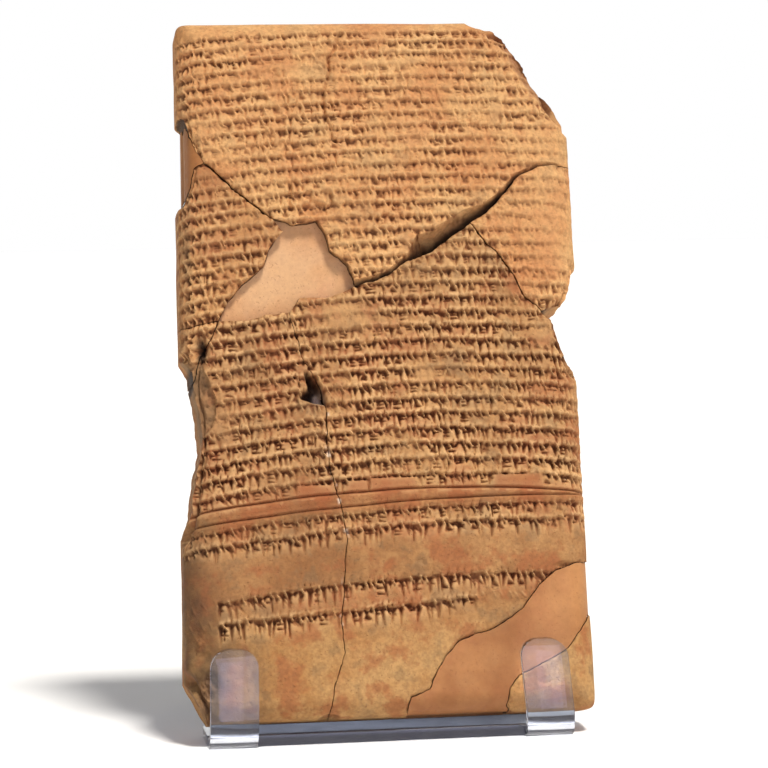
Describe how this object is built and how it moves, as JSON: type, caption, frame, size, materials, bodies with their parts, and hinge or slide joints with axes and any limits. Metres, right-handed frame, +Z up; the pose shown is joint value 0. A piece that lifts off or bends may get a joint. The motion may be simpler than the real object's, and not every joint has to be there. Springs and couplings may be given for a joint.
{
  "type": "cuneiform tablet in an acrylic cradle",
  "caption": "Broken and mended fired-clay tablet with rows of wedge strokes, standing in a bent clear cradle.",
  "frame": {"origin": "on the underside of the cradle's ledge, below the middle of the tablet's foot", "axes": "+Z up, the written face looks along -Y and leans back, +X to the right of the written face"},
  "size_m": [0.1147, 0.1088, 0.1977],
  "materials": {
    "fired_clay": "matte",
    "plaster_fill": "matte",
    "clear_acrylic": "polished"
  },
  "bodies": {
    "root": {"upper_fragment": "fired_clay", "left_fragment": "fired_clay", "left_sliver": "fired_clay", "right_fragment": "fired_clay", "lower_left_fragment": "fired_clay", "lower_right_fragment": "fired_clay", "corner_fragment": "fired_clay", "left_fill": "plaster_fill", "centre_fill": "plaster_fill", "corner_fill": "plaster_fill", "acrylic_cradle": "clear_acrylic"}
  },
  "joints": []
}
